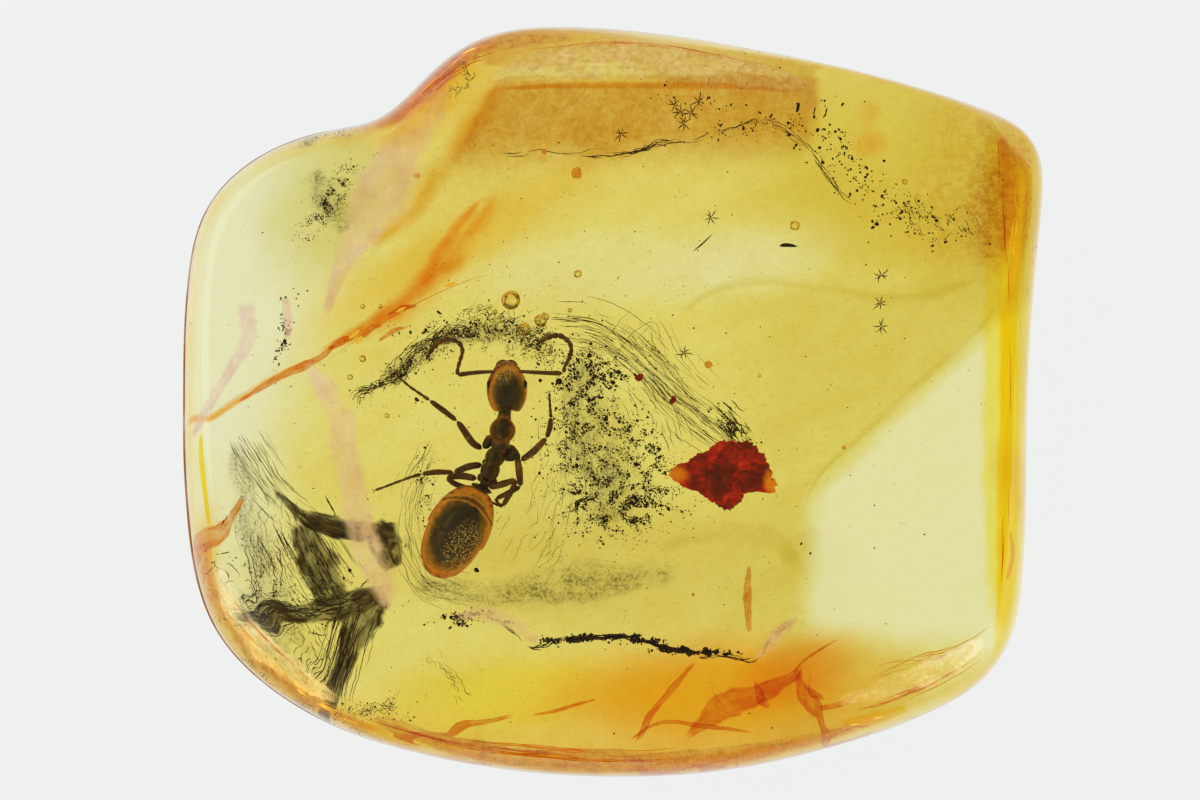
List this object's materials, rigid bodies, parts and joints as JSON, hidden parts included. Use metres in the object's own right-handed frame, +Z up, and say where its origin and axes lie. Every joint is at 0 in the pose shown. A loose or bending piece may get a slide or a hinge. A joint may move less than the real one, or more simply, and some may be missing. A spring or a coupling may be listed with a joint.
{
  "type": "insect in amber",
  "caption": "Hand-polished tablet of clear yellow fossil resin that lies flat, with a whole ant, a red flake, bubbles and fine debris sealed inside.",
  "frame": {"origin": "on the flat resting face, under the middle of the outline's box", "axes": "+Z up out of the top face, +X along the tablet's length towards its thicker end, +Y along the insect from tail to head"},
  "size_m": [0.02, 0.0174, 0.0058],
  "materials": {
    "amber": "hand-polished, clear yellow",
    "insect": "dark brown cuticle, satin",
    "flake": "dark red plant flake",
    "debris": "fine dark plant dust",
    "stain": "orange oxidised crack skin",
    "veil": "milky flow seam"
  },
  "bodies": {
    "root": {"amber_tablet": "amber"}
  },
  "joints": []
}
